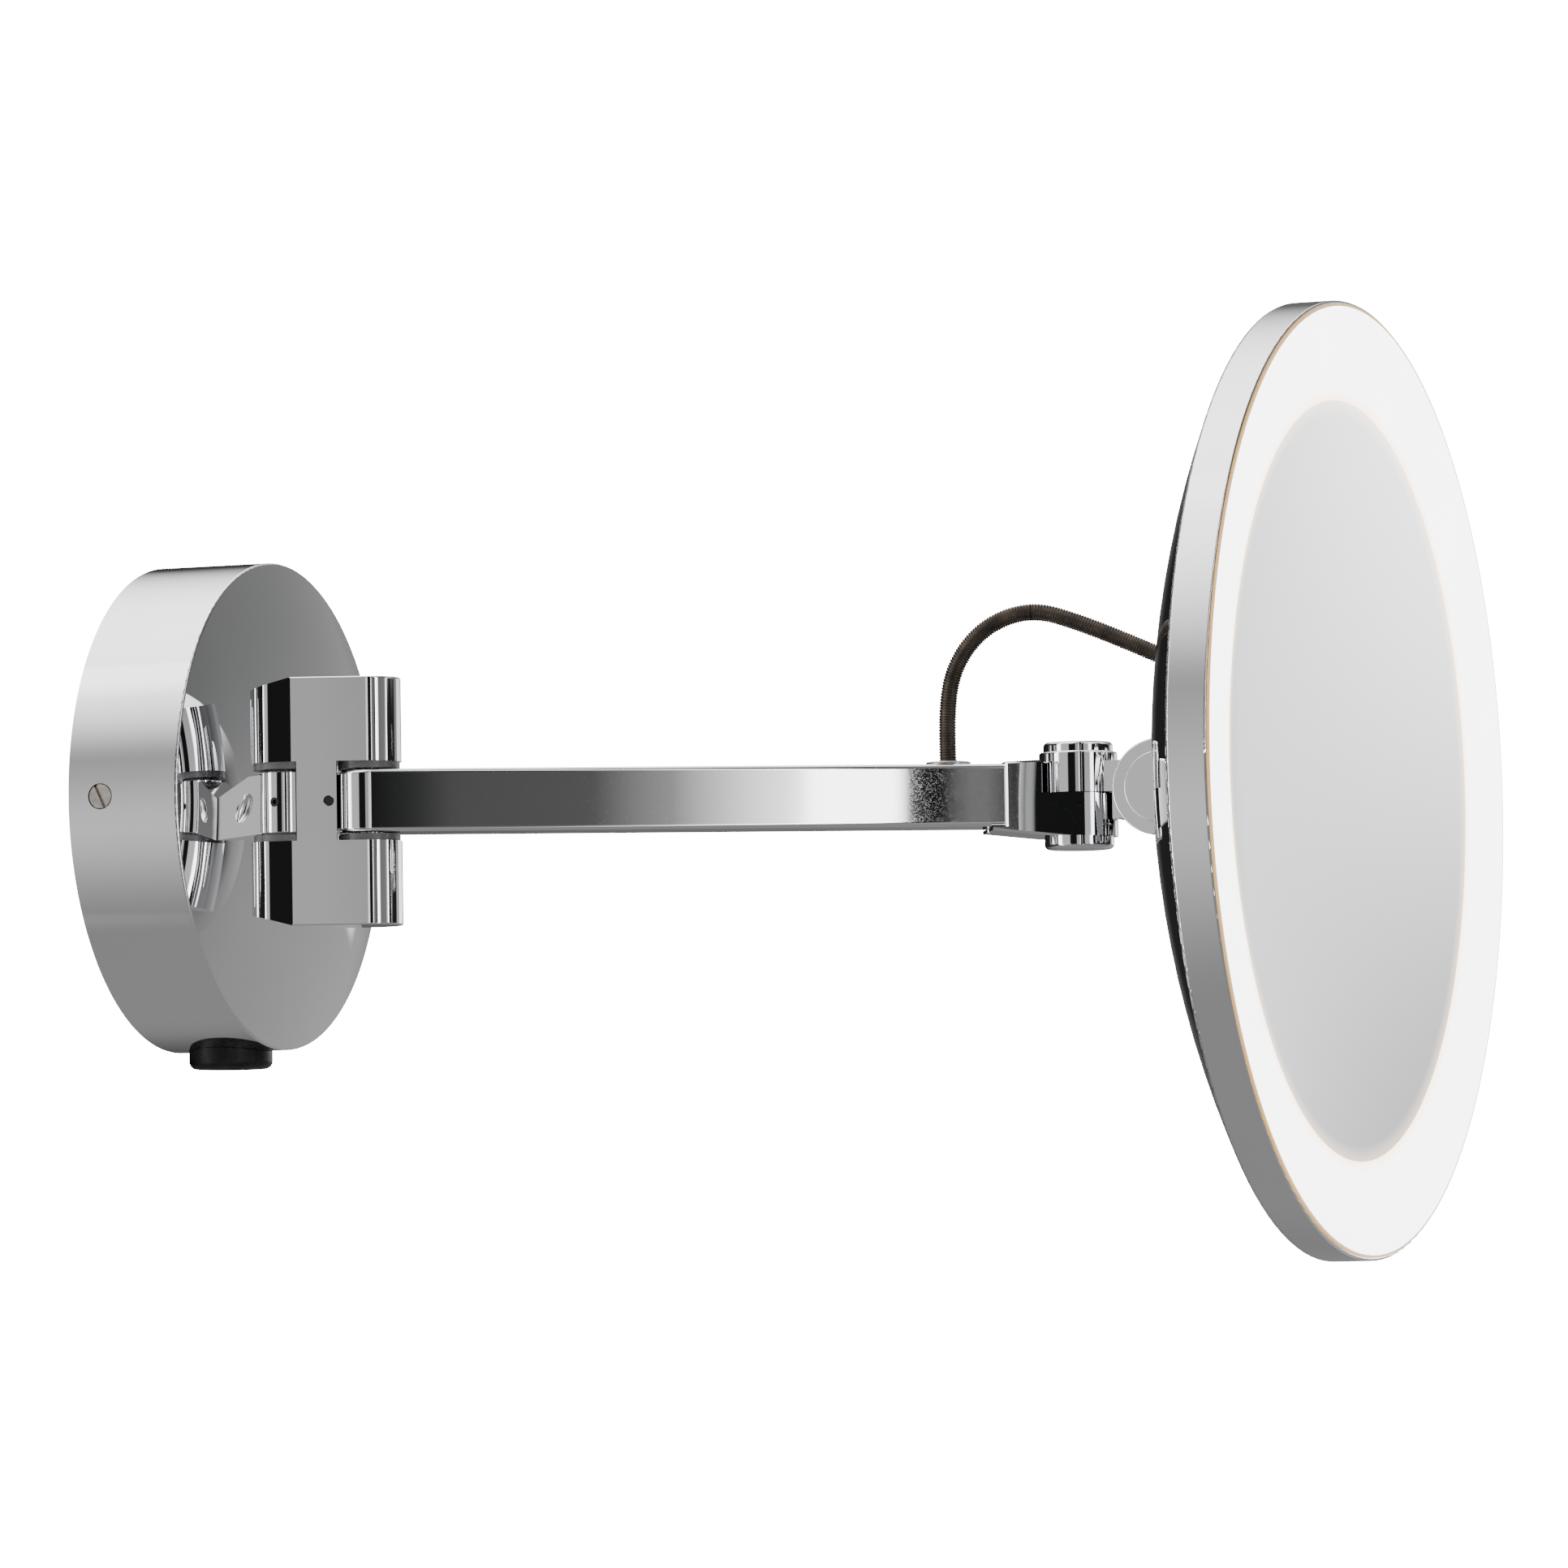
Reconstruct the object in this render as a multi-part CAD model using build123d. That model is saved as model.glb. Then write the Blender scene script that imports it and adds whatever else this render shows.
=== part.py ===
from build123d import *
import os
from math import cos, pi, radians, sin, sqrt, tan

# Lit shaving mirror on a folding wall arm.  Millimetres, +Z up.
# Origin: centre of the wall box where it meets the wall.  +X points out of the wall.

# ---- wall box -------------------------------------------------------------
BOX_R = 56.0            # outer radius of the chrome cover
BOX_DEPTH = 27.5        # wall to the crisp front edge of the cover
BOX_DOME = 10.8         # how far the front face bulges beyond that edge
COVER_WALL = 1.8
COVER_GAP = 0.6         # the cover stops short of the wall
PLATE_THICK = 2.5
FIXING_SPACING = 60.0   # the two wall screws, side by side
FIXING_R = 2.5
ENTRY_R = 8.0           # hole in the plate for the mains lead
GROMMET_BORE_R = 4.0
GROMMET_LENGTH = 6.0
COVER_SCREW_R = 1.5
COVER_SCREW_HEAD_R = 2.7
COVER_SCREW_X = 8.5
SEAT_GAP = 0.05         # between pieces that are fixed together
# ---- push switch under the box --------------------------------------------
SWITCH_X = BOX_DEPTH / 2 + 0.25      # midway under the cover
SWITCH_R = 6.0
BEZEL_R = 9.6
BEZEL_HEIGHT = 4.4
BUTTON_R = 5.4
BUTTON_TRAVEL = 1.5
BUTTON_GAP = 0.15
# ---- arm line: places of the upright pivots --------------------------------
ARM_LEVEL = -2.2
WALL_PIVOT = (46.8, -40.0)
LINK_PITCH = 19.0
LINK_YAW = 20.0
ARM_LENGTH = 161.0
ARM_YAW = 28.0
TILT_REACH = 22.0       # elbow pivot to tilt axis
TILT_RISE = 1.0
PIN_R = 3.0
RUN_FIT = 0.05          # radial running clearance
# ---- wall bracket -----------------------------------------------------------
KNUCKLE_R = 5.7
KNUCKLE_HEIGHT = 14.5
NECK_THICK = 7.6
FOOT_TOP = 0.9
FOOT_BOTTOM = -8.4
# ---- link -------------------------------------------------------------------
LINK_WIDTH = 14.8
LINK_HEIGHT = 55.8
LINK_GAP = 17.8
LINK_CREASE = 2.1       # where the pointed nose starts
LINK_NOSE = 7.5
NOSE_SHOULDER = (-3.5, 6.6)
NOSE_ROUND = 3.0
NOSE_DROP = 2.6
LINK_RIM_ROUND = 0.45
LINK_WEB = (3.2, 12.2)  # along the link, clear of both pivots
WASHER_R = 7.0
WASHER_THICK = 1.55
# ---- arm --------------------------------------------------------------------
ARM_DEPTH = 15.0
ARM_HEIGHT = 14.2
ARM_WALL = 2.0
ARM_ROUND = 1.1
EYE_SOLID = 12.0
ELBOW_BLOCK = 17.9      # block's end to the elbow pivot
ELBOW_WIDTH = 17.8
ELBOW_NOTCH = 9.7       # half-lap shoulder to the elbow pivot
LUG_TOP = 0.4
LUG_BOTTOM = -9.3
SPIGOT_LENGTH = 7.5
CONDUIT_R = 2.0
CONDUIT_EXIT = 131.3    # ferrule along the arm
CONDUIT_CROWN = 4       # which chosen point is the highest
FERRULE_FLANGE_R = 5.1
FERRULE_FLANGE = 0.9
# ---- elbow swivel -------------------------------------------------------------
SWIVEL_BOTTOM = 0.6
SWIVEL_TOP = 9.9
CAP_R = 7.9
CAP_THICK = 2.3
TONGUE_R = 6.6
TONGUE_THICK = 9.0
# ---- tilt hinge ---------------------------------------------------------------
CHEEK_R = 11.0
CHEEK_THICK = 4.0
CHEEK_GAP = 0.15
TILT_PIN_R = 2.5
TILT_CAP_R = 8.0
TILT_CAP_THICK = 0.9
TILT_CAP_SINK = 0.6
# ---- head ---------------------------------------------------------------------
HEAD_R = 107.5
HEAD_STANDOFF = 8.6     # tilt axis to the top of the domed back
HEAD_DOME = 27.5
BAND_WIDTH = 9.1
BAND_WALL = 0.8
BAND_ROUND = 0.5
BACK_WALL = 1.4
BACK_LIP_WALL = 1.4     # the back's lip that plugs into the band
FACE_RISE = 0.4         # the face's rim stands proud of the band
FACE_DEPTH = 7.36       # how far the magnifying front face is dished
FACE_THICK = 3.0
MIRROR_R = 85.3
SEAL_WIDTH = 0.5
TRAY_SINK = 3.0         # tray's front behind the band's rear edge
TRAY_THICK = 1.0
TRAY_HOLE_R = 30.0
PAD_INSET = 6.0
PAD_WIDTH = 20.0
LED_BOARD_GAP = 3.8     # board's edge to the band's bore
LED_BOARD_REAR = -0.7
LED_COUNT = 30
LED_SIZE = (0.9, 2.8, 3.5)
LED_BOARD_FRONT = 0.9

ARM_TOP = ARM_HEIGHT / 2
LINK_DIR = (cos(radians(LINK_YAW)), sin(radians(LINK_YAW)))
ARM_DIR = (cos(radians(ARM_YAW)), sin(radians(ARM_YAW)))
ARM_PIVOT = (WALL_PIVOT[0] + LINK_PITCH * LINK_DIR[0], WALL_PIVOT[1] + LINK_PITCH * LINK_DIR[1])
ELBOW = (ARM_PIVOT[0] + ARM_LENGTH * ARM_DIR[0], ARM_PIVOT[1] + ARM_LENGTH * ARM_DIR[1])
TILT = (ELBOW[0] + TILT_REACH, ELBOW[1], ARM_LEVEL + TILT_RISE)
DOME_TOP = TILT[0] + HEAD_STANDOFF
BAND_REAR = DOME_TOP + HEAD_DOME
HEAD_FRONT = BAND_REAR + BAND_WIDTH
BAND_BORE_R = HEAD_R - BAND_WALL
FACE_RIM_R = BAND_BORE_R - SEAL_WIDTH

BRACKET_FRAME = Pos(WALL_PIVOT[0], WALL_PIVOT[1], ARM_LEVEL)
LINK_FRAME = BRACKET_FRAME * Rot(0, 0, LINK_YAW)
ARM_FRAME = Pos(ARM_PIVOT[0], ARM_PIVOT[1], ARM_LEVEL) * Rot(0, 0, ARM_YAW)
SWIVEL_FRAME = Pos(ELBOW[0], ELBOW[1], ARM_LEVEL)
TILT_FRAME = Pos(*TILT)


def rod_z(radius, low, high, x=0.0, y=0.0):
    return Pos(x, y, (low + high) / 2) * Cylinder(radius, high - low)


def rod_x(radius, low, high, y=0.0, z=0.0):
    return Pos((low + high) / 2, y, z) * Rot(0, 90, 0) * Cylinder(radius, high - low)


def rod_y(radius, low, high, x=0.0, z=0.0):
    return Pos(x, (low + high) / 2, z) * Rot(90, 0, 0) * Cylinder(radius, high - low)


def block(x_range, y_range, z_range):
    size = [b - a for a, b in (x_range, y_range, z_range)]
    mid = [(a + b) / 2 for a, b in (x_range, y_range, z_range)]
    return Pos(*mid) * Box(*size)


def side_plate(points, thick):
    """A plate drawn in the X-Z plane, centred on Y."""
    outline = make_face(Polyline(*[(x, 0, z) for x, z in points], close=True))
    return extrude(outline, thick / 2, dir=(0, 1, 0), both=True)


def ball_radius(rim_radius, rise):
    return (rim_radius ** 2 + rise ** 2) / (2 * rise)


# ---------------------------------------------------------------- wall box
def turned(edges):
    """Solid of revolution about X from a closed outline drawn in the X-Z plane."""
    return revolve(make_face(edges), Axis.X)


def box_solid(inset=0.0):
    back = COVER_GAP - inset
    top = BOX_DEPTH + BOX_DOME - inset
    ball = ball_radius(BOX_R, BOX_DOME)
    centre = BOX_DEPTH + BOX_DOME - ball
    radius = BOX_R - inset
    rim_x = centre + sqrt((ball - inset) ** 2 - radius ** 2)
    mid_x = centre + sqrt((ball - inset) ** 2 - (radius / 2) ** 2)
    return turned([
        Line((back, 0, 0), (back, 0, radius)),
        Line((back, 0, radius), (rim_x, 0, radius)),
        ThreePointArc((rim_x, 0, radius), (mid_x, 0, radius / 2), (top, 0, 0)),
        Line((top, 0, 0), (back, 0, 0)),
    ])


def box_face_x(y, z):
    """Height of the domed front above the wall at a place on it."""
    ball = ball_radius(BOX_R, BOX_DOME)
    return BOX_DEPTH + BOX_DOME - ball + sqrt(ball ** 2 - y ** 2 - z ** 2)


def bracket_screw_places():
    return [(WALL_PIVOT[1], ARM_LEVEL + z) for z in (FOOT_BOTTOM + 2.4, FOOT_TOP - 2.4)]


def wall_cover():
    outer = box_solid()
    rims = [e for e in outer.edges().filter_by(GeomType.CIRCLE) if abs(e.radius - BOX_R) < 0.01]
    outer = fillet([max(rims, key=lambda e: e.center().X)], 0.7)
    shell = outer - box_solid(COVER_WALL) - rod_x(BOX_R - COVER_WALL, -5, BOX_DEPTH / 2)
    for side in (-1, 1):
        hole = rod_y(COVER_SCREW_HEAD_R + 0.25, 0, BOX_R + 5, COVER_SCREW_X)
        shell -= hole if side > 0 else Rot(180, 0, 0) * hole
    shell -= rod_z(SWITCH_R + SEAT_GAP, -BOX_R - 5, 0, SWITCH_X)
    for y, z in bracket_screw_places():
        shell -= rod_x(1.0 + SEAT_GAP, 20, 45, y, z)
    return shell


def wall_plate():
    plate = rod_x(BOX_R - COVER_WALL - 0.6, 0, PLATE_THICK)
    tab_inner = BOX_R - COVER_WALL - 7.6
    for side in (-1, 1):
        ys = sorted((side * tab_inner, side * (BOX_R - COVER_WALL - 0.6)))
        tab = block((PLATE_THICK - 0.5, COVER_SCREW_X + 4.5), ys, (-5, 5))
        plate += tab & rod_x(BOX_R - COVER_WALL - 0.6, 0, 30)
        plate -= rod_x(FIXING_R, -1, PLATE_THICK + 1, side * FIXING_SPACING / 2)
    plate -= rod_y(COVER_SCREW_R + SEAT_GAP, -BOX_R, BOX_R, COVER_SCREW_X)
    plate -= rod_x(ENTRY_R, -1, PLATE_THICK + 1)
    return plate


def cover_screws():
    tip = BOX_R - COVER_WALL - 6.5
    screw = rod_y(COVER_SCREW_R, tip, BOX_R - 1.2, COVER_SCREW_X)
    screw += rod_y(COVER_SCREW_HEAD_R, BOX_R - 1.7, BOX_R - 0.1, COVER_SCREW_X)
    slot = Pos(COVER_SCREW_X, BOX_R, 0) * Rot(0, 25, 0) * Box(0.8, 1.7, 8)
    screw -= slot
    return Compound(children=[screw, Rot(180, 0, 0) * screw])


def cable_grommet():
    body = rod_x(ENTRY_R - SEAT_GAP, 0, PLATE_THICK) + rod_x(ENTRY_R + 2, PLATE_THICK, GROMMET_LENGTH)
    return body - rod_x(GROMMET_BORE_R, -1, GROMMET_LENGTH + 1)


def driver_housing():
    box = block((PLATE_THICK, 19), (-22, 22), (16, 40))
    box = fillet(box.edges().filter_by(Axis.X), 2.5)
    return box - rod_y(1.6, -23, 23, 22, 28)


def driver_lid():
    lid = block((19, 20.4), (-22, 22), (16, 40))
    lid = fillet(lid.edges().filter_by(Axis.X), 2.5)
    return lid


def driver_screws():
    screws = []
    for y in (-18, 18):
        screws.append(rod_x(2.2, 20.4, 21.6, y, 28) - Pos(21.6, y, 28) * Box(1.0, 0.6, 5))
    return Compound(children=screws)


def terminal_block():
    body = block((PLATE_THICK, 14), (-10, 10), (-22, -12))
    for y in (-6, 0, 6):
        body -= rod_x(2.0, 10, 15, y, -17)
    return body


def terminal_screws():
    screws = []
    for y in (-6, 0, 6):
        screw = rod_x(1.8, 10, 13, y, -17) - Pos(13, y, -17) * Box(1.4, 0.6, 5)
        screws.append(screw)
    return Compound(children=screws)


# ---------------------------------------------------------------- push switch
def switch_body():
    top = -BOX_R + 16
    body = rod_z(SWITCH_R, -BOX_R - 1.0, top, SWITCH_X)
    return body - rod_z(BUTTON_R - 1.4, -BOX_R - 2, -BOX_R + 6, SWITCH_X)


def switch_nut():
    # the nut sits just inside the curved wall of the cover
    inner = sqrt((BOX_R - COVER_WALL) ** 2 - (SWITCH_R + 3) ** 2)
    nut = Pos(SWITCH_X, 0, -inner + 1.8) * extrude(RegularPolygon(SWITCH_R + 3, 6), 1.6, both=True)
    return nut - rod_z(SWITCH_R + SEAT_GAP, -BOX_R, 0, SWITCH_X)


def button_bezel():
    low = -BOX_R - BEZEL_HEIGHT + 0.4
    ring = rod_z(BEZEL_R, low, -BOX_R + 4, SWITCH_X)
    bottom = ring.edges().filter_by(GeomType.CIRCLE).sort_by(Axis.Z)[0]
    ring = fillet([bottom], 1.8)
    ring -= rod_x(BOX_R + SEAT_GAP, SWITCH_X - 20, SWITCH_X + 20)
    ring -= rod_z(SWITCH_R + SEAT_GAP, -BOX_R - 1.05, -BOX_R + 5, SWITCH_X)
    return ring - rod_z(BUTTON_R + BUTTON_GAP, low - 1, -BOX_R, SWITCH_X)


def button_cap():
    face = -BOX_R - BEZEL_HEIGHT + 1.0
    cap = rod_z(BUTTON_R, face, -BOX_R - 1.0 - BUTTON_TRAVEL - 0.1, SWITCH_X)
    rim = cap.edges().filter_by(GeomType.CIRCLE).sort_by(Axis.Z)[0]
    cap = fillet([rim], 0.35)
    stem = rod_z(BUTTON_R - 1.4 - 0.2, -BOX_R - 3.0, -BOX_R + 2.5, SWITCH_X)
    return cap + stem


# ---------------------------------------------------------------- wall bracket
def wall_bracket():
    half = KNUCKLE_HEIGHT / 2
    foot = 26 - WALL_PIVOT[0]
    fin = side_plate(
        [(foot, FOOT_BOTTOM), (foot, FOOT_TOP - 3), (-KNUCKLE_R - 1.5, half - 1.2), (0, half - 0.6),
         (0, -half + 0.4), (-KNUCKLE_R, -half + 0.2)],
        NECK_THICK,
    )
    fin = fillet(fin.edges().filter_by(Axis.Y), 0.8)
    barrel = rod_z(KNUCKLE_R, -half, half)
    barrel = fillet(barrel.edges().filter_by(GeomType.CIRCLE), 0.7)
    body = fin + barrel
    pocket = Pos(-KNUCKLE_R - 2.6, 0, -1.0) * Rot(0, 25, 0) * scale(Sphere(2.6), (0.75, 1, 1.5))
    for side in (-1, 1):
        body -= Pos(0, side * (NECK_THICK / 2 + 1.2), 0) * pocket
    body -= rod_z(PIN_R + RUN_FIT, -half - 1, half + 1)
    body -= rod_y(1.0 + SEAT_GAP, -KNUCKLE_R - 1, -PIN_R + 0.5)
    body = BRACKET_FRAME * body
    ball = ball_radius(BOX_R, BOX_DOME)
    body -= Pos(BOX_DEPTH + BOX_DOME - ball, 0, 0) * Sphere(ball)
    for y, z in bracket_screw_places():
        body -= rod_x(1.0 + SEAT_GAP, 20, 39, y, z)
    return body


def bracket_screws():
    screws = []
    for y, z in bracket_screw_places():
        inside = box_face_x(y, z) - COVER_WALL - 0.8
        screws.append(rod_x(1.0, inside, 38.5, y, z) + rod_x(1.9, inside - 1.4, inside, y, z))
    return Compound(children=screws)


def bracket_grub_screw():
    screw = rod_y(1.0, -KNUCKLE_R + 0.15, -PIN_R - 0.35)
    screw -= Pos(0, -KNUCKLE_R, 0) * Rot(90, 0, 0) * extrude(RegularPolygon(0.55, 6), 1.0, both=True)
    return BRACKET_FRAME * screw


# ---------------------------------------------------------------- link
def link_outline():
    half = LINK_WIDTH / 2
    shoulder, mirrored = NOSE_SHOULDER, (NOSE_SHOULDER[0], -NOSE_SHOULDER[1])
    edge = [
        Line((LINK_CREASE, -half), (LINK_PITCH, -half)),
        ThreePointArc((LINK_PITCH, -half), (LINK_PITCH + half, 0), (LINK_PITCH, half)),
        Line((LINK_PITCH, half), (LINK_CREASE, half)),
        Line((LINK_CREASE, half), shoulder),
        ThreePointArc(shoulder, (-LINK_NOSE, 0), mirrored),
        Line(mirrored, (LINK_CREASE, -half)),
    ]
    return make_face(edge)


def link_block(low, high):
    body = Pos(0, 0, low) * extrude(link_outline(), high - low)
    body = fillet(body.edges().filter_by(Axis.Z).sort_by(Axis.X)[:2], NOSE_ROUND)
    outer = high if high > 0 else low
    inward = -1 if high > 0 else 1
    slope = [(LINK_CREASE, outer), (-LINK_NOSE, outer + inward * NOSE_DROP), (-LINK_NOSE, outer - inward)]
    body -= side_plate(slope + [(LINK_CREASE, outer - inward)], LINK_WIDTH + 4)
    rims = body.faces().sort_by(Axis.Z)[-1 if high > 0 else 0].edges()
    return fillet(rims, LINK_RIM_ROUND)


def link_body():
    half_gap = LINK_GAP / 2
    half = LINK_HEIGHT / 2
    body = link_block(half_gap, half) + link_block(-half, -half_gap)
    web = block(LINK_WEB, (-LINK_WIDTH / 2 + 0.5, LINK_WIDTH / 2 - 0.5), (-half_gap, half_gap))
    web -= rod_z(KNUCKLE_R + 0.4, -half, half)
    web -= rod_z(ARM_DEPTH / 2 + 0.4, -half, half, LINK_PITCH)
    for side in (-1, 1):
        ends = sorted((side * half, side * (half_gap - WASHER_THICK - 0.1)))
        web -= rod_z(WASHER_R + 0.1, *ends)
    body += web
    for x in (0, LINK_PITCH):
        body -= rod_z(PIN_R + SEAT_GAP, -half + 3, half - 3, x)
    body -= rod_y(1.2, -LINK_WIDTH / 2 - 1, -LINK_WIDTH / 2 + 3, LINK_PITCH - 8.6)
    return LINK_FRAME * body


def pivot_pin(x):
    half = LINK_HEIGHT / 2 - 3.2
    return LINK_FRAME * rod_z(PIN_R, -half, half, x)


def link_washers():
    rings = []
    for x in (0, LINK_PITCH):
        for side in (-1, 1):
            ends = sorted((side * LINK_GAP / 2, side * (LINK_GAP / 2 - WASHER_THICK)))
            ring = rod_z(WASHER_R, *ends, x) - rod_z(PIN_R + RUN_FIT, -LINK_HEIGHT, LINK_HEIGHT, x)
            rings.append(LINK_FRAME * ring)
    return Compound(children=rings)


def link_grub_screw():
    screw = rod_y(1.1, -LINK_WIDTH / 2 + 0.8, -LINK_WIDTH / 2 + 2.8, LINK_PITCH - 8.6)
    return LINK_FRAME * screw


# ---------------------------------------------------------------- arm
def arm_bar():
    end = ARM_LENGTH - ELBOW_BLOCK
    plan = block((0, end), (-ARM_DEPTH / 2, ARM_DEPTH / 2), (-ARM_TOP, ARM_TOP))
    plan += rod_z(ARM_DEPTH / 2, -ARM_TOP, ARM_TOP)
    rims = plan.faces().sort_by(Axis.Z)
    edges = [e for face in (rims[0], rims[-1]) for e in face.edges() if e.center().X < end - 0.1]
    bar = fillet(edges, ARM_ROUND)
    inner = (-ARM_DEPTH / 2 + ARM_WALL, ARM_DEPTH / 2 - ARM_WALL)
    bar -= block((EYE_SOLID, end + 1), inner, (-ARM_TOP + ARM_WALL, ARM_TOP - ARM_WALL))
    bar -= rod_z(PIN_R + RUN_FIT, -ARM_TOP - 1, ARM_TOP + 1)
    bar -= rod_z(3.0 + SEAT_GAP, 0, ARM_TOP + 1, CONDUIT_EXIT)
    return ARM_FRAME * bar


def arm_lead():
    lead = rod_x(1.4, EYE_SOLID + 2, CONDUIT_EXIT - 4, 0, -ARM_TOP + ARM_WALL + 1.5)
    return ARM_FRAME * lead


def elbow_block():
    start = ARM_LENGTH - ELBOW_BLOCK
    shoulder = ARM_LENGTH - ELBOW_NOTCH
    end = ARM_LENGTH + ELBOW_WIDTH / 2
    body = side_plate(
        [(start, ARM_TOP + 0.4), (shoulder, ARM_TOP + 0.7), (shoulder, LUG_TOP), (end, LUG_TOP),
         (end, LUG_BOTTOM), (ARM_LENGTH - 8, LUG_BOTTOM), (start - 3.0, -ARM_TOP - 0.9),
         (start - 3.0, -ARM_TOP - 0.15), (start, -ARM_TOP - 0.15)],
        ELBOW_WIDTH,
    )
    plan = rod_z(ELBOW_WIDTH / 2, -30, 30, ARM_LENGTH)
    half = ELBOW_WIDTH / 2
    plan += block((start - 3, ARM_LENGTH), (-half, half), (-30, 30))
    body &= plan
    body -= rod_z(ELBOW_WIDTH / 2 + 0.5, LUG_TOP, 30, ARM_LENGTH)
    long_edges = [e for e in body.edges() if e.length > 5 and e.center().X < shoulder]
    body = chamfer([e for e in long_edges if abs(abs(e.center().Y) - half) < 0.01], 0.5)
    inner_y = ARM_DEPTH / 2 - ARM_WALL - 0.1
    inner_z = ARM_TOP - ARM_WALL - 0.1
    body += block((start - SPIGOT_LENGTH, start + 1), (-inner_y, inner_y), (-inner_z, inner_z))
    body -= rod_z(PIN_R + SEAT_GAP, -30, 30, ARM_LENGTH)
    body -= rod_z(1.3 + SEAT_GAP, -12, 0, start - 3.6)
    return ARM_FRAME * body


def elbow_pin():
    return SWIVEL_FRAME * rod_z(PIN_R, LUG_BOTTOM, SWIVEL_TOP - 0.4)


def elbow_cap_bottom():
    cap = rod_z(CAP_R, LUG_BOTTOM - CAP_THICK - 0.5, LUG_BOTTOM)
    rim = cap.edges().filter_by(GeomType.CIRCLE).sort_by(Axis.Z)[0]
    return SWIVEL_FRAME * fillet([rim], 1.1)


def conduit_ferrule():
    top = ARM_TOP + FERRULE_FLANGE
    body = rod_z(3.0, ARM_TOP - ARM_WALL - 1, ARM_TOP + 0.1, CONDUIT_EXIT)
    flange = rod_z(FERRULE_FLANGE_R, ARM_TOP, top, CONDUIT_EXIT)
    rim = flange.edges().filter_by(GeomType.CIRCLE).sort_by(Axis.Z)[-1]
    body += fillet([rim], 0.4)
    return ARM_FRAME * (body - rod_z(1.5, -20, 20, CONDUIT_EXIT))


def ferrule_nut():
    low = ARM_TOP - ARM_WALL - 0.9
    nut = Pos(CONDUIT_EXIT, 0, low + 0.4) * extrude(RegularPolygon(4.2, 6), 0.4, both=True)
    return ARM_FRAME * (nut - rod_z(3.0 + SEAT_GAP, -20, 20, CONDUIT_EXIT))


# ---------------------------------------------------------------- swivel
def swivel_knuckle():
    body = rod_z(ELBOW_WIDTH / 2, SWIVEL_BOTTOM, SWIVEL_TOP)
    body = fillet(body.edges().filter_by(GeomType.CIRCLE).sort_by(Axis.Z)[-1], 0.5)
    half = TONGUE_THICK / 2
    low = TILT_RISE - TONGUE_R
    neck = block((ELBOW_WIDTH / 2 + 0.7, TILT_REACH), (-half, half), (low, TILT_RISE + TONGUE_R))
    body += neck + block((0, TILT_REACH), (-half, half), (SWIVEL_BOTTOM, TILT_RISE + TONGUE_R))
    body += rod_y(TONGUE_R, -half, half, TILT_REACH, TILT_RISE)
    body -= rod_z(PIN_R + RUN_FIT, -1, 20)
    body -= rod_y(TILT_PIN_R + RUN_FIT, -10, 10, TILT_REACH, TILT_RISE)
    return SWIVEL_FRAME * body


def elbow_cap_top():
    cap = rod_z(CAP_R, SWIVEL_TOP, SWIVEL_TOP + CAP_THICK)
    rim = cap.edges().filter_by(GeomType.CIRCLE).sort_by(Axis.Z)[-1]
    return SWIVEL_FRAME * fillet([rim], 0.9)


def elbow_washer():
    ring = rod_z(ELBOW_WIDTH / 2 - 1.5, LUG_TOP + 0.05, SWIVEL_BOTTOM)
    return SWIVEL_FRAME * (ring - rod_z(PIN_R + RUN_FIT, -1, 2))


# ---------------------------------------------------------------- tilt hinge
def tilt_clevis():
    inner = TONGUE_THICK / 2 + CHEEK_GAP
    outer = inner + CHEEK_THICK
    body = rod_y(CHEEK_R, -outer, outer)
    body = fillet(body.edges().filter_by(GeomType.CIRCLE), 0.4)
    body += block((2, HEAD_STANDOFF + 1.5), (-outer, outer), (-CHEEK_R + 2.5, CHEEK_R - 2.5))
    slot = block((-CHEEK_R - 1, 0), (-inner, inner), (-CHEEK_R - 1, CHEEK_R + 1))
    body -= slot + rod_y(TONGUE_R + 0.3, -inner, inner)
    body -= block((-1, 3.5), (-inner, inner), (TONGUE_R - 0.5, CHEEK_R + 1))
    body -= block((-1, 3.5), (-inner, inner), (-CHEEK_R - 1, -TONGUE_R + 0.5))
    body -= rod_y(TILT_PIN_R + SEAT_GAP, -outer - 1, outer + 1)
    for side in (-1, 1):
        ys = sorted((side * (outer - TILT_CAP_SINK), side * (outer + 1)))
        body -= rod_y(TILT_CAP_R + SEAT_GAP, *ys)
        for y in (-inner - 1.9, inner + 1.9):
            body -= rod_x(0.9 + SEAT_GAP, 4, 20, y, side * 4.5)
    body = TILT_FRAME * body
    return body - head_ball()


def head_ball(shrink=0.0):
    ball = ball_radius(HEAD_R, HEAD_DOME)
    return Pos(DOME_TOP + ball, TILT[1], TILT[2]) * Sphere(ball - shrink)


def tilt_pin():
    outer = TONGUE_THICK / 2 + CHEEK_GAP + CHEEK_THICK - TILT_CAP_SINK
    return TILT_FRAME * rod_y(TILT_PIN_R, -outer, outer)


def tilt_caps():
    outer = TONGUE_THICK / 2 + CHEEK_GAP + CHEEK_THICK - TILT_CAP_SINK
    cap = rod_y(TILT_CAP_R, outer, outer + TILT_CAP_THICK)
    cap = fillet(cap.edges().filter_by(GeomType.CIRCLE).sort_by(Axis.Y)[-1], 0.25)
    return Compound(children=[TILT_FRAME * cap, TILT_FRAME * Rot(180, 0, 0) * cap])


def hinge_screws():
    inner = TONGUE_THICK / 2 + CHEEK_GAP
    screws = []
    for y in (-inner - 1.9, inner + 1.9):
        for z in (-4.5, 4.5):
            seat = HEAD_STANDOFF + BACK_WALL + 0.6
            screws.append(TILT_FRAME * (rod_x(0.9, 5, seat, y, z) + rod_x(1.8, seat, seat + 1.2, y, z)))
    return Compound(children=screws)


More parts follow.
